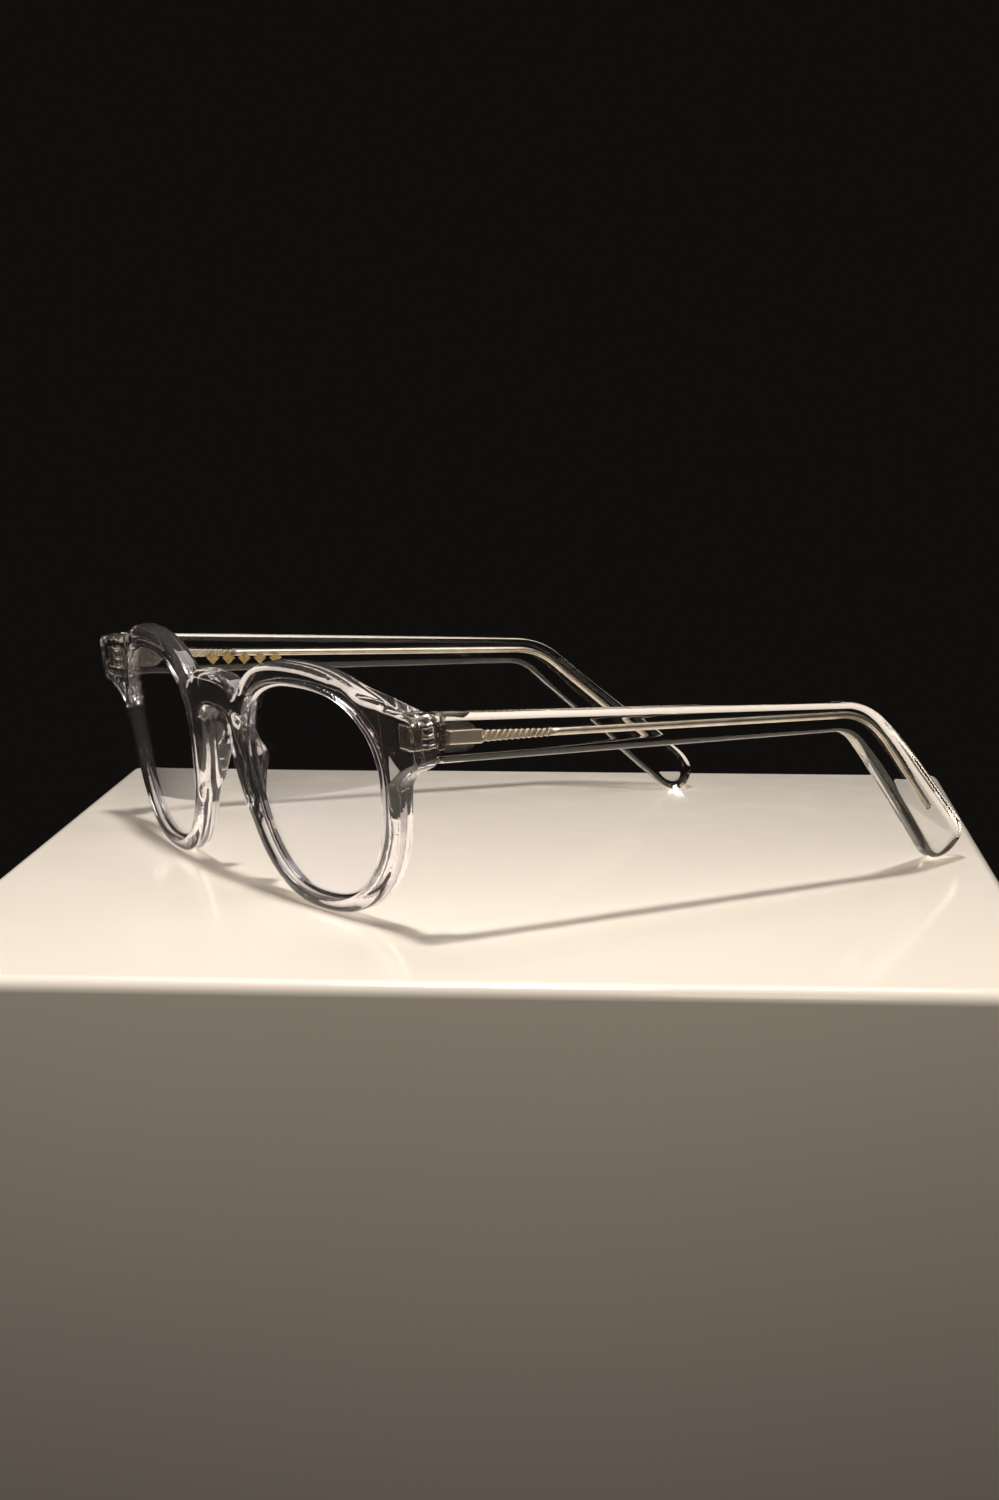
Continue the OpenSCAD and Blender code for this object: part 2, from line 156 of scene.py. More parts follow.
def polygon_distance(poly, x, v):
    """Signed distance to a closed polygon, for arrays of points."""
    pts = np.stack([x.ravel(), v.ravel()], 1)
    best = np.full(len(pts), 1e18)
    inside = np.zeros(len(pts), bool)
    for a, b in zip(poly, np.roll(poly, -1, 0)):
        e, w = b - a, pts - a
        k = np.clip((w @ e) / max(e @ e, 1e-12), 0, 1)
        best = np.minimum(best, ((w - k[:, None] * e) ** 2).sum(1))
        crosses = (a[1] <= pts[:, 1]) != (b[1] <= pts[:, 1])
        side = e[0] * w[:, 1] - e[1] * w[:, 0]
        inside ^= crosses & ((side > 0) == (e[1] > 0))
    return (np.sqrt(best) * np.where(inside, -1, 1)).reshape(x.shape)


def smooth_min(a, b, k):
    """Union of two fields with a fillet about k wide where they meet."""
    h = np.clip(0.5 + 0.5 * (b - a) / k, 0, 1)
    return b + (a - b) * h - k * h * (1 - h)


def round_and(a, b, r):
    """Intersection of two fields with an edge rounded to radius r."""
    u, w = a + r, b + r
    return np.minimum(np.maximum(u, w), 0) + np.hypot(np.maximum(u, 0), np.maximum(w, 0)) - r


def capsule(x, y, z, a, b, r):
    """Distance to a bar with round ends."""
    a, b = np.array(a), np.array(b)
    e = b - a
    k = np.clip(((x - a[0]) * e[0] + (y - a[1]) * e[1] + (z - a[2]) * e[2]) / (e @ e), 0, 1)
    d = np.sqrt((x - a[0] - k * e[0]) ** 2 + (y - a[1] - k * e[1]) ** 2 + (z - a[2] - k * e[2]) ** 2)
    return d - r


def box_field(x, y, z, centre, size, tilt=0.0, r=0.15):
    """Distance to a bar with rounded edges, tilted about the X axis."""
    dy, dz = y - centre[1], z - centre[2]
    c, s = math.cos(tilt), math.sin(tilt)
    u, v = dy * c + dz * s, -dy * s + dz * c
    q = [np.abs(x - centre[0]) - size[0] / 2 + r, np.abs(u) - size[1] / 2 + r, np.abs(v) - size[2] / 2 + r]
    far = np.sqrt(sum(np.maximum(a, 0) ** 2 for a in q))
    return far + np.minimum(np.maximum(np.maximum(q[0], q[1]), q[2]), 0) - r


class Sheet:
    """A field over a plane, kept on a fine grid and read between its points."""

    def __init__(self, build, low, high, step=SHEET_STEP):
        self.low, self.step = np.array(low, float), step
        n = np.ceil((np.array(high, float) - self.low) / step).astype(int) + 1
        across, up = (self.low[i] + step * np.arange(n[i]) for i in (0, 1))
        self.grid = self.softened(build(*np.meshgrid(across, up, indexing="ij")))

    @staticmethod
    def softened(grid, passes=8):
        """Takes the corners of the outline's short segments out of a field."""
        for _ in range(passes):
            for axis in (0, 1):
                ends = np.concatenate([grid.take([0], axis), grid, grid.take([-1], axis)], axis)
                n = grid.shape[axis]
                low, high = ends.take(range(n), axis), ends.take(range(2, n + 2), axis)
                grid = (low + 2 * grid + high) / 4
        return grid

    def __call__(self, u, v):
        g = self.grid
        a = np.clip((u - self.low[0]) / self.step, 0, g.shape[0] - 1.001)
        b = np.clip((v - self.low[1]) / self.step, 0, g.shape[1] - 1.001)
        i, j = a.astype(int), b.astype(int)
        a, b = a - i, b - j
        return ((g[i, j] * (1 - a) + g[i + 1, j] * a) * (1 - b)
                + (g[i, j + 1] * (1 - a) + g[i + 1, j + 1] * a) * b)


def surface_nets(field, low, high, step):
    """Closed quad mesh of a field's zero surface, with its points drawn onto that surface."""
    low = np.array(low, float)
    n = np.ceil((np.array(high, float) - low) / step).astype(int) + 1
    axes = [low[i] + step * np.arange(n[i]) for i in range(3)]
    f = np.empty(n)
    for i, x in enumerate(axes[0]):
        y, z = np.meshgrid(axes[1], axes[2], indexing="ij")
        f[i] = field(np.full_like(y, x), y, z)

    # Cells that the surface passes through
    neg = f < 0
    corners = [(i, j, k) for i in (0, 1) for j in (0, 1) for k in (0, 1)]
    cells = np.zeros(n - 1, int)
    for c in corners:
        cells += neg[c[0]:n[0] - 1 + c[0], c[1]:n[1] - 1 + c[1], c[2]:n[2] - 1 + c[2]]
    active = np.argwhere((cells > 0) & (cells < 8))
    index = np.full(n - 1, -1)
    index[tuple(active.T)] = np.arange(len(active))

    # One point in each such cell, at the mean of the cuts through its edges
    total, count = np.zeros((len(active), 3)), np.zeros(len(active))
    for a in corners:
        for axis in range(3):
            if a[axis]:
                continue
            b = list(a)
            b[axis] = 1
            fa, fb = f[tuple((active + a).T)], f[tuple((active + b).T)]
            cut = (fa < 0) != (fb < 0)
            t = fa[cut] / (fa[cut] - fb[cut])
            p = np.tile(np.array(a, float), (cut.sum(), 1))
            p[:, axis] += t
            total[cut] += p
            count[cut] += 1
    verts = low + step * (active + total / count[:, None])

    # One quad round each grid edge that the surface cuts
    quads = []
    for axis in range(3):
        o1, o2 = [a for a in range(3) if a != axis]
        lo = np.zeros(3, int)
        lo[[o1, o2]] = 1
        span = [slice(lo[i], n[i] - 1) for i in range(3)]
        ahead = list(span)
        ahead[axis] = slice(1, n[axis])
        here, there = neg[tuple(span)], neg[tuple(ahead)]
        for sign in (True, False):
            at = np.argwhere((here == sign) & (there != sign)) + lo
            d1, d2 = np.zeros(3, int), np.zeros(3, int)
            d1[o1], d2[o2] = 1, 1
            q = np.stack([index[tuple(c.T)] for c in (at - d1 - d2, at - d2, at, at - d1)], 1)
            flip = sign != (axis == 1)
            quads.append(q if flip else q[:, ::-1])
    for _ in range(4):
        verts -= newton_step(field, verts, step)
    return verts, np.concatenate(quads)


def newton_step(field, p, step, eps=0.02, least_slope=0.05):
    """Move that takes points to a field's zero surface, at most half a grid step long."""
    grad = np.empty_like(p)
    for i in range(3):
        d = np.zeros(3)
        d[i] = eps
        grad[:, i] = (field(*(p + d).T) - field(*(p - d).T)) / (2 * eps)
    move = grad * (field(*p.T) / np.maximum((grad ** 2).sum(1), least_slope))[:, None]
    size = np.linalg.norm(move, axis=1, keepdims=True)
    return move * np.minimum(1, 0.5 * step / np.maximum(size, 1e-9))


def add_piece(name, body, shape, matrix, material, replaces):
    """A smooth piece from points in millimetres and faces, riding on a CAD body."""
    verts, faces = shape
    m = np.array(matrix)
    pts = (np.asarray(verts, float) @ m[:3, :3].T + m[:3, 3]) * MM
    if np.linalg.det(m[:3, :3]) < 0:
        faces = [tuple(reversed(f)) for f in faces]
    mesh = bpy.data.meshes.new(name)
    mesh.from_pydata(pts.tolist(), [], [tuple(int(i) for i in f) for f in faces])
    mesh.validate()
    mesh.shade_smooth()
    obj = bpy.data.objects.new(name, mesh)
    bpy.context.scene.collection.objects.link(obj)
    mesh.materials.append(material)
    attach(obj, body)
    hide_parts(*replaces)


# ---- Materials ----

def new_material(name):
    """An empty node material, its node tree and its output."""
    mat = bpy.data.materials.new(name)
    mat.use_nodes = True
    nt = mat.node_tree
    nt.nodes.clear()
    out = nt.nodes.new("ShaderNodeOutputMaterial")
    return mat, nt, out


def noise(nt, scale, detail=3.0, rough=0.5, stretch=(1, 1, 1)):
    """Noise in the piece's own coordinates, so that it moves with the piece."""
    coord = nt.nodes.new("ShaderNodeTexCoord")
    mapping = nt.nodes.new("ShaderNodeMapping")
    mapping.inputs["Scale"].default_value = stretch
    tex = nt.nodes.new("ShaderNodeTexNoise")
    tex.inputs["Scale"].default_value = scale
    tex.inputs["Detail"].default_value = detail
    tex.inputs["Roughness"].default_value = rough
    nt.links.new(coord.outputs["Object"], mapping.inputs["Vector"])
    nt.links.new(mapping.outputs["Vector"], tex.inputs["Vector"])
    return tex.outputs["Fac"]


def ramp(nt, fac, low, high, at=(0.3, 0.7)):
    """Blend from one colour or grey level to another between two values of a factor."""
    node = nt.nodes.new("ShaderNodeValToRGB")
    for stop, place, level in zip(node.color_ramp.elements, at, (low, high)):
        stop.position = place
        stop.color = (*level, 1) if isinstance(level, tuple) else (level, level, level, 1)
    nt.links.new(fac, node.inputs["Fac"])
    return node.outputs["Color"]


def bump(nt, height, strength, distance):
    """Normal with fine relief taken from a height."""
    node = nt.nodes.new("ShaderNodeBump")
    node.inputs["Strength"].default_value = strength
    node.inputs["Distance"].default_value = distance
    nt.links.new(height, node.inputs["Height"])
    return node.outputs["Normal"]


def clear_material(name, tint_a, tint_b, ior, roughness, shadow, coat=None, wave=0.0, sheen=(1, 1, 1),
                   clarity=1.0):
    """A clear solid with a faint uneven tint, polish marks, and light let through to what lies behind."""
    mat, nt, out = new_material(name)
    bsdf = nt.nodes.new("ShaderNodeBsdfPrincipled")
    bsdf.inputs["Transmission Weight"].default_value = clarity
    bsdf.inputs["IOR"].default_value = ior
    bsdf.inputs["Specular Tint"].default_value = (*sheen, 1)
    nt.links.new(ramp(nt, noise(nt, scale=60, detail=2), tint_a, tint_b), bsdf.inputs["Base Color"])
    polish = ramp(nt, noise(nt, scale=900, detail=4, rough=0.6), *roughness, at=(0.35, 0.75))
    nt.links.new(polish, bsdf.inputs["Roughness"])
    if wave:
        relief = bump(nt, noise(nt, scale=140, detail=2), wave, distance=0.0005)
        nt.links.new(relief, bsdf.inputs["Normal"])
    if coat:
        bsdf.inputs["Coat Weight"].default_value = coat[0]
        bsdf.inputs["Coat Tint"].default_value = (*coat[1], 1)
        bsdf.inputs["Coat Roughness"].default_value = 0.02
    path = nt.nodes.new("ShaderNodeLightPath")
    clear = nt.nodes.new("ShaderNodeBsdfTransparent")
    clear.inputs["Color"].default_value = (*shadow, 1)
    mix = nt.nodes.new("ShaderNodeMixShader")
    nt.links.new(path.outputs["Is Shadow Ray"], mix.inputs["Fac"])
    nt.links.new(bsdf.outputs[0], mix.inputs[1])
    nt.links.new(clear.outputs[0], mix.inputs[2])
    nt.links.new(mix.outputs[0], out.inputs["Surface"])
    return mat


def metal_material(name, light, dark, rough, grain, stretch):
    """Brushed metal: fine drawn grain, cloudy colour and uneven polish."""
    mat, nt, out = new_material(name)
    bsdf = nt.nodes.new("ShaderNodeBsdfPrincipled")
    bsdf.inputs["Metallic"].default_value = 1.0
    nt.links.new(ramp(nt, noise(nt, scale=260, detail=4), dark, light), bsdf.inputs["Base Color"])
    lines = noise(nt, grain, detail=5, rough=0.65, stretch=stretch)
    nt.links.new(ramp(nt, lines, *rough, at=(0.25, 0.8)), bsdf.inputs["Roughness"])
    nt.links.new(bump(nt, lines, strength=0.05, distance=0.000004), bsdf.inputs["Normal"])
    nt.links.new(bsdf.outputs[0], out.inputs["Surface"])
    return mat


FRONT_ACETATE = clear_material(
    "front_acetate", tint_a=(0.87, 0.865, 0.91), tint_b=(0.92, 0.91, 0.945), ior=1.49,
    roughness=(0.0, 0.03), shadow=(0.42, 0.40, 0.38), wave=0.015, clarity=0.985)
TEMPLE_ACETATE = clear_material(
    "temple_acetate", tint_a=(0.92, 0.915, 0.925), tint_b=(0.955, 0.95, 0.955), ior=1.49,
    roughness=(0.0, 0.03), shadow=(0.5, 0.48, 0.46), wave=0.015)
LENS = clear_material(
    "lens_plastic", tint_a=(0.965, 0.965, 0.985), tint_b=(0.975, 0.975, 0.99), ior=1.5,
    roughness=(0.0, 0.015), shadow=(0.95, 0.95, 0.96), coat=(0.5, (0.975, 0.97, 1.0)),
    sheen=(0.62, 0.55, 1.0))
HINGE_METAL = metal_material(
    "hinge_metal", light=(0.84, 0.79, 0.74), dark=(0.64, 0.58, 0.53), rough=(0.16, 0.3),
    grain=700, stretch=(1, 5, 1))
SCREW_METAL = metal_material(
    "screw_metal", light=(0.82, 0.81, 0.78), dark=(0.6, 0.59, 0.56), rough=(0.2, 0.38),
    grain=2600, stretch=(6, 6, 1))
CORE_METAL = metal_material(
    "core_metal", light=(0.9, 0.84, 0.72), dark=(0.68, 0.61, 0.5), rough=(0.26, 0.42),
    grain=1600, stretch=(6, 1, 6))
FOIL = metal_material(
    "gold_foil", light=(0.95, 0.76, 0.38), dark=(0.72, 0.52, 0.22), rough=(0.18, 0.42),
    grain=2200, stretch=(1, 1, 1))


# ---- Front ----

def bridge_outline():
    """Bridge: a dipped top edge over an arch, with a flank down each side of the nose."""
    low_top, arch_foot = BRIDGE_TOP - BRIDGE_DIP, NOSE_TOP - ARCH_RISE
    k = np.linspace(-1, 1, 61)
    top = np.stack([NOTCH_X * k, BRIDGE_TOP - BRIDGE_DIP * k ** 4], 1)
    q = np.linspace(1, 0, 30)
    flank = np.stack([NOSE_HALF + NOSE_FLARE * q ** 2, arch_foot - (arch_foot - FLANK_LOW) * q], 1)
    t = np.linspace(0, np.pi, 40)[1:-1]
    arch = np.stack([NOSE_HALF * np.cos(t), arch_foot + ARCH_RISE * np.sin(t)], 1)
    far_flank = (flank * [-1, 1])[::-1]
    root_low = FLANK_LOW - 0.4
    return np.concatenate([[[BRIDGE_ROOT, root_low]], flank, arch, far_flank, [[-BRIDGE_ROOT, root_low]],
                           [[-BRIDGE_ROOT, low_top]], top, [[BRIDGE_ROOT, low_top]]])


def end_outline():
    """End piece: a brow running out over it, round corners and a ledge running back under it."""
    outer = END_X - END_ROUND
    x = np.linspace(END_X - BROW_RUN, outer, 30)
    brow = np.stack([x, END_TOP + BROW_RISE * ((END_X - x) / BROW_RUN) ** 2], 1)
    x = np.linspace(outer, END_X - LEDGE_RUN, 30)
    ledge = np.stack([x, END_BOTTOM - LEDGE_DROP * ((END_X - x) / LEDGE_RUN) ** LEDGE_BOW], 1)
    t = np.radians(np.linspace(75, 0, 6))
    corner = END_ROUND * np.stack([np.cos(t), np.sin(t)], 1)
    top_corner = corner + [outer, END_TOP - END_ROUND]
    low_corner = corner[::-1] * [1, -1] + [outer, END_BOTTOM + END_ROUND]
    root_x = EYE_X + EYE_W / 2 + RIM_SIDE / 3
    root = [[root_x, EYE_V - 2], [root_x, EYE_V + EYE_H / 4]]
    return np.concatenate([brow, top_corner, low_corner, ledge, root])


def outer_field(x, v):
    """The front's outer outline: rim, bridge and end piece melted together."""
    ring = polygon_distance(rim, x, v)
    bridge = polygon_distance(bridge_outline(), x, v)
    end = polygon_distance(end_outline(), x, v)
    under = np.clip((END_BOTTOM + 1 - v) / LEDGE_FADE, 0, 1)
    return smooth_min(smooth_min(ring, bridge, BLEND_BRIDGE), end, BLEND_END + BLEND_LEDGE * under)


def opening_field(x, v):
    """Outline of an eye opening."""
    return polygon_distance(eye_outline(0, 0, 0), x, v)


outer_sheet = Sheet(outer_field, *FRONT_SHEET_BOX)
opening_sheet = Sheet(opening_field, *FRONT_SHEET_BOX)


def pad_field(x, y, v):
    """Nose pad: a rounded bar that stands off the back and runs down beside the nose gap."""
    depths = (FRONT_T - PAD_SINK, FRONT_T + PAD_DEPTH - PAD_R, FRONT_T + PAD_DEPTH / 2 - PAD_R)
    top, mid, low = [(NOSE_HALF + side, depth, NOSE_TOP - drop)
                     for side, depth, drop in zip(PAD_SIDES, depths, PAD_DROPS)]
    return smooth_min(capsule(x, y, v, top, mid, PAD_R), capsule(x, y, v, mid, low, PAD_R), PAD_ELBOW)


def front_field(x, y, v):
    """The whole front in its own axes: curved sheet, end pieces, nose pads and grooved openings."""
    x = np.abs(x)
    half = FRONT_T / 2
    depth = FRONT_R - np.hypot(x, y - FRONT_R)
    from_middle = np.abs(depth - half)
    block = np.maximum(END_FRONT - y, END_INNER - x)
    body = smooth_min(from_middle - half, block, BLEND_BLOCK)
    plain = 1 - np.clip((x - EDGE_FADE_X) / EDGE_FADE_RUN, 0, 1)
    facing = np.clip((half - depth) / half, 0, 1)
    edge = EDGE_END + EDGE_RIM_ADD * plain + (FACE_ADD + FACE_RIM_ADD * plain) * facing
    solid = round_and(outer_sheet(x, v), body, edge)
    solid = round_and(solid, y - JOINT_BACK, JOINT_ROUND)
    solid = smooth_min(solid, pad_field(x, y, v), BLEND_PAD)

    hole = opening_sheet(x, v)
    vee = GROOVE * 1.1 * np.clip(1 - from_middle / (LENS_T / 2 + 0.05), 0, 1)
    grooved = np.maximum(solid, -(hole - vee) * 0.8)
    rounded = np.maximum(solid, np.where(hole > 3, -1e3, round_and(-hole, body, OPENING_ROUND)))
    return np.where(from_middle < half - OPENING_ROUND, grooved, rounded)


def make_front():
    """The front, with the bonded nose pads as one clear piece with it."""
    add_piece("front_acetate", "front", surface_nets(front_field, *FRONT_MESH_BOX, FRONT_STEP),
              FRONT_FRAME, FRONT_ACETATE, ("front", "nose_pad_left", "nose_pad_right"))


def lens_shape(count=240):
    """A left lens: two curved faces of rings, with a bevelled edge that sits in the groove."""
    face = (FRONT_T - LENS_T) / 2
    back = face + LENS_T
    scales = np.linspace(0.04, 1, 25)
    flat = eye_outline(-LENS_SLACK, -LENS_SLACK, -LENS_SLACK, count)
    centre = flat.mean(0)
    rings = [(centre + (flat - centre) * k, face) for k in scales]
    grow = GROOVE - LENS_SLACK
    rings.append((eye_outline(grow, grow, grow, count), FRONT_T / 2))
    rings += [(centre + (flat - centre) * k, back) for k in scales[::-1]]
    verts = []
    for outline, depth in rings:
        for x, v in outline:
            angle = math.asin(x / (FRONT_R - depth))
            verts.append((x, FRONT_R - (FRONT_R - depth) * math.cos(angle), v))
    faces = []
    for row in range(len(rings) - 1):
        for i in range(count):
            a, b = row * count + i, row * count + (i + 1) % count
            faces.append((a + count, b + count, b, a))
    for depth, first in ((face, 0), (back, len(verts) - count)):
        tip = len(verts)
        y = FRONT_R - math.sqrt((FRONT_R - depth) ** 2 - centre[0] ** 2)
        verts.append((centre[0], y, centre[1]))
        for i in range(count):
            a, b = first + i, first + (i + 1) % count
            faces.append((a, b, tip) if first == 0 else (b, a, tip))
    return verts, faces


lens_mesh = lens_shape()


def make_lens(side):
    """A clear coated lens."""
    add_piece("lens_" + side + "_clear", "front", lens_mesh, on_side(FRONT_FRAME, side), LENS,
              ("lens_" + side,))


# ---- Temples ----

def along(q):
    """Direction on a temple's side at an angle below its bar."""
    return np.array([math.cos(q), -math.sin(q)])


TOP_TURN, LOW_TURN = BEND_TURN - BEND_FLARE, BEND_TURN + BEND_FLARE
TOP_END = np.array([BEND_AT + BEND_TOP_R * math.sin(TOP_TURN),
                    BEND_UP - BEND_TOP_R * (1 - math.cos(TOP_TURN))])
ACROSS = np.array([math.sin(BEND_TURN), math.cos(BEND_TURN)])


def tip_cap(length, count=40):
    """Squared round end of a tip of this length."""
    top = TOP_END + length * along(TOP_TURN)
    mid = top - ACROSS * TIP_W / 2
    t = np.linspace(math.pi / 2, -math.pi / 2, count)
    return (mid + np.outer(CAP_LEN * spow(np.cos(t), CAP_SQUARE), along(BEND_TURN))
            + np.outer(TIP_W / 2 * spow(np.sin(t), CAP_SQUARE), ACROSS))


def tip_length(first=33.0):
    """Length of the tip that brings its lowest point down to the table."""
    cap = tip_cap(first)
    height = (pin.z + cap[:, 1] * math.cos(temple_slope) - cap[:, 0] * math.sin(temple_slope)).min()
    return first + height / math.sin(BEND_TURN + temple_slope)


TIP_LEN = tip_length()


def temple_outline(before=8, count=20):
    """Side view of a temple, started a little before its joint face."""
    t = np.linspace(0, TOP_TURN, count)
    top = np.stack([BEND_AT + BEND_TOP_R * np.sin(t), BEND_UP - BEND_TOP_R * (1 - np.cos(t))], 1)
    t = np.linspace(LOW_TURN, 0, count)
    low = np.stack([BEND_AT - BEND_LEAD + BEND_LOW_R * np.sin(t),
                    -BEND_DOWN - BEND_LOW_R * (1 - np.cos(t))], 1)
    return np.concatenate([[[-before, TEMPLE_UP]], top, tip_cap(TIP_LEN), low, [[-before, -TEMPLE_DOWN]]])


side_sheet = Sheet(lambda s, w: polygon_distance(temple_outline(), s, w), *TEMPLE_SHEET_BOX)
JOINT_TO_TEMPLE = FRONT_FRAME.inverted() @ TEMPLE_FRAME


def temple_field(n, s, w):
    """Temple in its own axes: n out from its outer face, s along it, w over its core."""
    leaning = np.clip((s - (BEND_AT - LEAN_BEFORE)) / LEAN_RUN, 0, 1)
    leaning = leaning * leaning * (3 - 2 * leaning)
    drop = smooth_min(np.zeros_like(w), w - KINK, KINK_SOFT)
    mid = -TEMPLE_T / 2 + TIP_LEAN * drop * leaning
    slope = 1 / math.sqrt(1 + TIP_LEAN ** 2) * leaning + 1 - leaning
    slab = (np.abs(n - mid) - TEMPLE_T / 2) * slope
    solid = round_and(side_sheet(s, w), slab, TEMPLE_ROUND)
    m = JOINT_TO_TEMPLE
    depth = m[1][0] * n + m[1][1] * s + m[1][2] * w + m[1][3]
    return round_and(solid, JOINT_BACK + JOINT_GAP - depth, JOINT_ROUND)


temple_mesh = surface_nets(temple_field, *TEMPLE_MESH_BOX, TEMPLE_STEP)


def make_temple(side):
    """A clear temple round its core."""
    name = "temple_" + side
    add_piece(name + "_acetate", name, temple_mesh, on_side(TEMPLE_FRAME, side), TEMPLE_ACETATE,
              (name,))


# ---- Temple core ----

def core_field(n, s, w, blend=0.12):
    """Flat shank, then slanting ribs that get lower, on a thin web that hands over to the wire."""
    f = box_field(n, s, w, (CORE_N, (SHANK_START + SHANK_END) / 2, 0),
                  (SHANK_T, SHANK_END - SHANK_START, SHANK_H), r=0.25)
    for i in range(RIB_COUNT):
        height = SHANK_H - (SHANK_H - RIBS_LOW) * (i + 0.5) / RIB_COUNT
        centre = (CORE_N, SHANK_END + (i + 0.5) * RIB_PITCH, 0)
        f = smooth_min(f, box_field(n, s, w, centre, (SHANK_T, RIB_PITCH * 0.45, height), -RIB_LEAN), blend)
    fall = np.clip((s - SHANK_END) / (RIBS_END - SHANK_END), 0, 1)
    half = SHANK_H * 0.38 * (1 - fall) + WIRE_D * 0.45 * fall
    web = round_and(np.abs(w) - half, np.abs(n - CORE_N) - SHANK_T * 0.18, 0.15)
    web = np.maximum(web, np.maximum(SHANK_END - 0.4 - s, s - RIBS_END - 0.5))
    return smooth_min(f, web, blend)


def wire_path():
    """Centre line of the wire, from the ribs round the bend to its end inside the tip."""
    pts = [(CORE_N, s, 0.0) for s in np.linspace(RIBS_END - 0.5, BEND_AT, 30)]
    for t in np.linspace(0, BEND_TURN, 16)[1:]:
        pts.append((CORE_N, BEND_AT + WIRE_BEND_R * math.sin(t), -WIRE_BEND_R * (1 - math.cos(t))))
    turned = np.array(pts[-1])
    straight = np.array([0, math.cos(BEND_TURN), -math.sin(BEND_TURN)])
    kink = turned + straight * (turned[2] - KINK) / math.sin(BEND_TURN)
    leaning = np.array([-TIP_LEAN * math.sin(BEND_TURN), math.cos(BEND_TURN), -math.sin(BEND_TURN)])
    end = kink + leaning * (TIP_LEN - WIRE_END)
    pts += [tuple(kink + (end - kink) * k) for k in np.linspace(0, 1, 14)]
    return np.array(pts)


def tube(path, radius, sides=20, dome=(0.4, 0.75, 0.95)):
    """Round bar with a domed far end, swept along a path."""
    tangent = np.gradient(path, axis=0)
    tangent /= np.linalg.norm(tangent, axis=1, keepdims=True)
    rings = [(p, t, radius) for p, t in zip(path, tangent)]
    for k in dome:
        rings.append((path[-1] + tangent[-1] * radius * k, tangent[-1], radius * math.sqrt(1 - k * k)))
    verts, faces = [], []
    for p, t, r in rings:
        u = np.cross(t, (1, 0, 0))
        u /= np.linalg.norm(u)
        v = np.cross(t, u)
        for i in range(sides):
            a = 2 * math.pi * i / sides
            verts.append(p + r * (math.cos(a) * u + math.sin(a) * v))
    for r in range(len(rings) - 1):
        for i in range(sides):
            j = (i + 1) % sides
            faces.append((r * sides + i, r * sides + j, (r + 1) * sides + j, (r + 1) * sides + i))
    faces.append(tuple(range(sides))[::-1])
    faces.append(tuple(range(len(verts) - sides, len(verts))))
    return verts, faces


def core_shape():
    """Shank and ribs, with the wire's start inside them."""
    head_verts, head_faces = surface_nets(core_field, *CORE_MESH_BOX, CORE_STEP)
    wire_verts, wire_faces = tube(wire_path(), WIRE_D / 2)
    base = len(head_verts)
    faces = [tuple(q) for q in head_faces] + [tuple(i + base for i in f) for f in wire_faces]
    return np.concatenate([head_verts, np.array(wire_verts)]), faces


core_mesh = core_shape()


def make_core(side):
    """The metal core inside a temple."""
    add_piece("core_" + side + "_wire", "temple_" + side, core_mesh,
              on_side(TEMPLE_FRAME, side), CORE_METAL, ("core_wire_" + side,))


# ---- Front half of a hinge ----

def hinge_front_field(x, y, z):
    """Three rounded prongs that run from a cross plate back to their knuckles, bored for the screw."""
    reach, pitch = PIN_BACK + ANCHOR_DEPTH, HINGE_H / KNUCKLES
    thick = pitch - KNUCKLE_GAP
    f = box_field(x, y, z, (0, CROSS_T / 2 - reach, 0), (CROSS_W, CROSS_T, HINGE_H + 2 * CROSS_OVER), r=0.45)
    for k in range(0, KNUCKLES, 2):
        zc = (k + 0.5) * pitch - HINGE_H / 2
        prong = box_field(x, y, z, (0, -reach / 2, zc), (2 * KNUCKLE_R - 0.5, reach, thick), r=0.38)
        f = smooth_min(f, prong, 0.15)
        f = np.minimum(f, round_and(np.hypot(x, y) - KNUCKLE_R, np.abs(z - zc) - thick / 2, 0.1))
    return np.maximum(f, SCREW_R - np.hypot(x, y))


hinge_mesh = surface_nets(hinge_front_field, *HINGE_MESH_BOX, HINGE_STEP)


def make_hinge_front(side):
    """The front half of a hinge, set into the clear end piece."""
    place = TEMPLE_FRAME @ Matrix.Translation((-TEMPLE_T - PIN_INSET, 0, 0))
    add_piece("hinge_prongs_" + side, "front", hinge_mesh, on_side(place, side), HINGE_METAL,
              ("hinge_front_" + side,))


# ---- Metal that keeps its CAD shape ----

def finish_node(name, material, bevel):
    """Material and softened edges, with the bevel in millimetres."""
    obj = frame["nodes"][name]
    obj.data.materials.clear()
    obj.data.materials.append(material)
    mod = obj.modifiers.new("edge", "BEVEL")
    mod.width = bevel * MM
    mod.segments = 2
    mod.limit_method = "ANGLE"
    mod.angle_limit = math.radians(40)


# ---- Floor, light and camera, in metres ----
FLOOR_SIZE, FLOOR_CENTRE, FLOOR_TURN = (0.191, 0.217, 0.16), (0.005, -0.009), math.radians(57.5)
FLOOR_BEVEL = 0.0025
WORLD_COLOUR = (0.0055, 0.0048, 0.0042, 1)
LIGHT_TARGET = (0, 0, 0.02)
LIGHTS = (  # name, place, width and height, watts, colour
    ("key", (0.14, -0.14, 0.8), (0.07, 0.07), 8.6, (1, 0.9, 0.78)),
    ("overhead", (-0.1, 0.05, 0.6), (0.4, 0.3), 1.6, (1, 0.93, 0.86)),
    ("side", (0.6, -0.25, 0.4), (0.12, 0.3), 0.4, (1, 0.82, 0.62)),
)
CAMERA_AZIMUTH, CAMERA_ELEVATION = math.radians(61.0), math.radians(8.6)
CAMERA_TARGET = Vector((-4.45, 60 + front_shift, 19.65)) * MM
CAMERA_DISTANCE, CAMERA_LENS, CAMERA_SENSOR = 0.5503, 65.95, 36


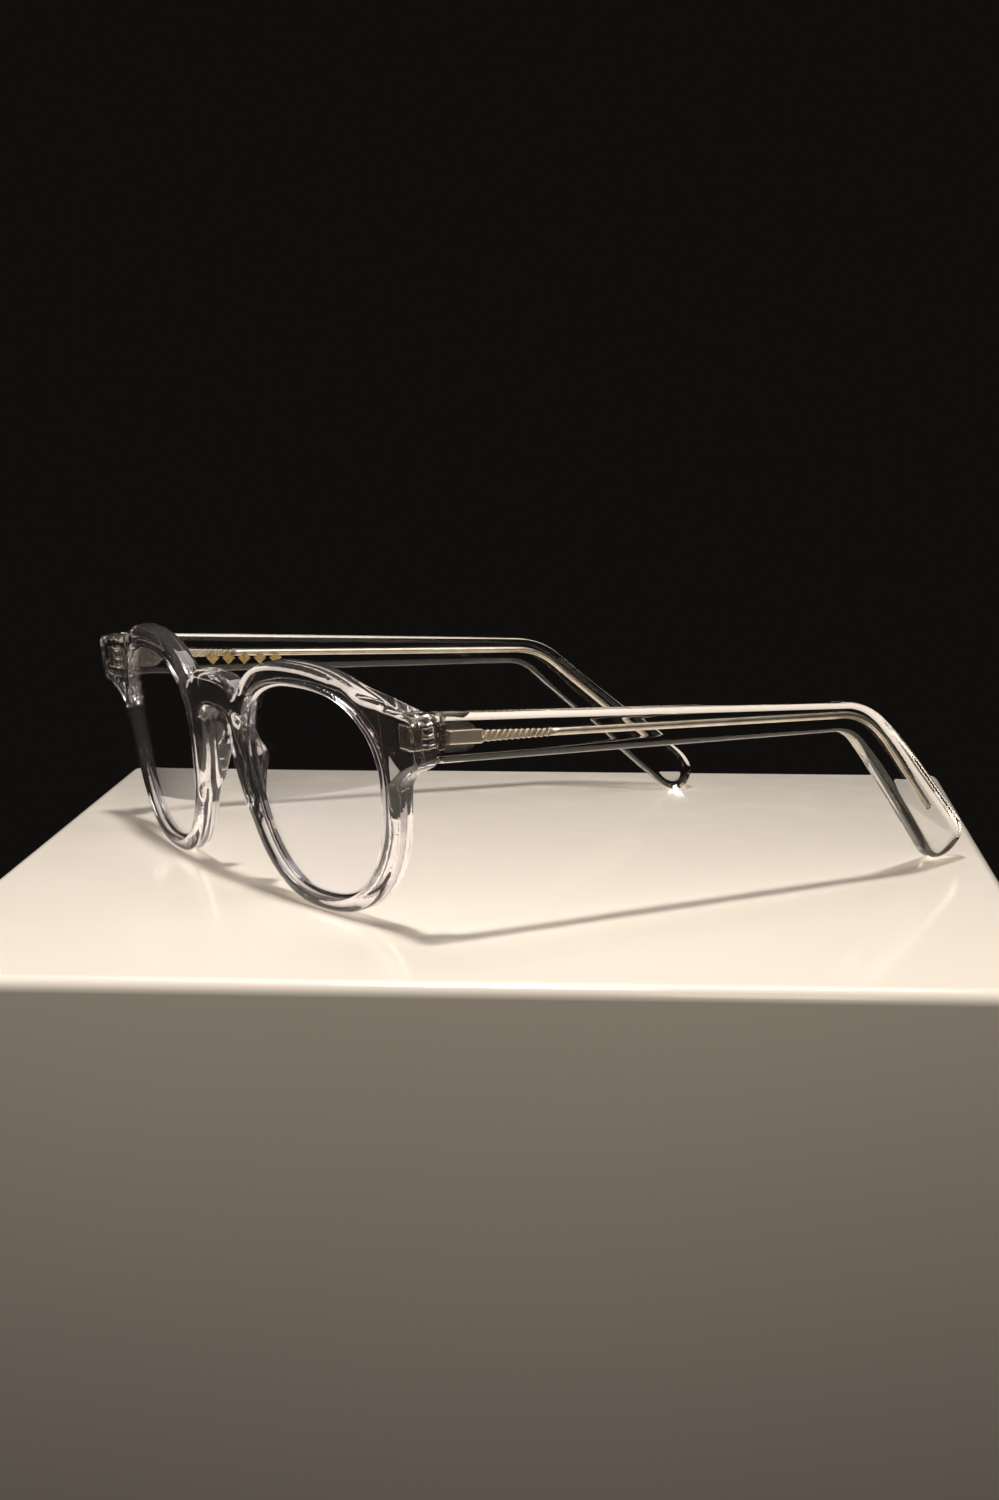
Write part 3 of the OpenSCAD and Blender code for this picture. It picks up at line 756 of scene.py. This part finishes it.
def floor_material():
    """Pale polished table top with faint cloudiness and fine wear."""
    mat, nt, out = new_material("pale_floor")
    bsdf = nt.nodes.new("ShaderNodeBsdfPrincipled")
    colour = ramp(nt, noise(nt, scale=6, detail=2), (0.72, 0.69, 0.65), (0.76, 0.73, 0.69))
    nt.links.new(colour, bsdf.inputs["Base Color"])
    nt.links.new(ramp(nt, noise(nt, scale=90, detail=4), 0.1, 0.16), bsdf.inputs["Roughness"])
    nt.links.new(bsdf.outputs[0], out.inputs["Surface"])
    return mat


def make_floor():
    """Plain pale block whose top is the floor."""
    bpy.ops.mesh.primitive_cube_add(size=1)
    obj = bpy.context.object
    obj.name = "floor"
    for v in obj.data.vertices:
        v.co = Vector((v.co.x * FLOOR_SIZE[0], v.co.y * FLOOR_SIZE[1], (v.co.z - 0.5) * FLOOR_SIZE[2]))
    obj.rotation_euler.z = FLOOR_TURN
    obj.location = (*FLOOR_CENTRE, 0)
    edge = obj.modifiers.new("edge", "BEVEL")
    edge.width = FLOOR_BEVEL
    edge.segments = 6
    obj.data.shade_smooth()
    obj.data.materials.append(floor_material())


def area_light(name, place, size, power, colour):
    """A rectangular light aimed at the object."""
    data = bpy.data.lights.new(name, "AREA")
    data.shape = "RECTANGLE"
    data.size, data.size_y = size
    data.energy = power
    data.color = colour
    obj = bpy.data.objects.new(name, data)
    obj.location = place
    obj.rotation_euler = (Vector(LIGHT_TARGET) - Vector(place)).to_track_quat("-Z", "Y").to_euler()
    bpy.context.scene.collection.objects.link(obj)


def make_lights():
    """Near-black surroundings and three soft lights."""
    world = bpy.data.worlds.new("world")
    bpy.context.scene.world = world
    world.use_nodes = True
    back = world.node_tree.nodes["Background"]
    back.inputs["Color"].default_value = WORLD_COLOUR
    back.inputs["Strength"].default_value = 1.0
    for light in LIGHTS:
        area_light(*light)


def make_camera():
    """Camera at the photograph's angle: near the table, from the wearer's left and front."""
    level = math.cos(CAMERA_ELEVATION)
    back = Vector((math.sin(CAMERA_AZIMUTH) * level, -math.cos(CAMERA_AZIMUTH) * level,
                   math.sin(CAMERA_ELEVATION)))
    data = bpy.data.cameras.new("camera")
    data.sensor_width = CAMERA_SENSOR
    data.sensor_fit = "AUTO"
    data.lens = CAMERA_LENS
    data.clip_start = 0.01
    obj = bpy.data.objects.new("camera", data)
    obj.location = CAMERA_TARGET + back * CAMERA_DISTANCE
    obj.rotation_euler = (-back).to_track_quat("-Z", "Y").to_euler()
    bpy.context.scene.collection.objects.link(obj)
    bpy.context.scene.camera = obj


# ---- The whole scene ----
make_front()
for side in SIDES:
    make_lens(side)
    make_temple(side)
    make_core(side)
    make_hinge_front(side)
    finish_node("hinge_temple_" + side, HINGE_METAL, 0.08)
    finish_node("hinge_screw_" + side, SCREW_METAL, 0.06)
finish_node("foil_mark_right", FOIL, 0.01)
make_floor()
make_lights()
make_camera()
bpy.context.scene.view_settings.view_transform = "Standard"
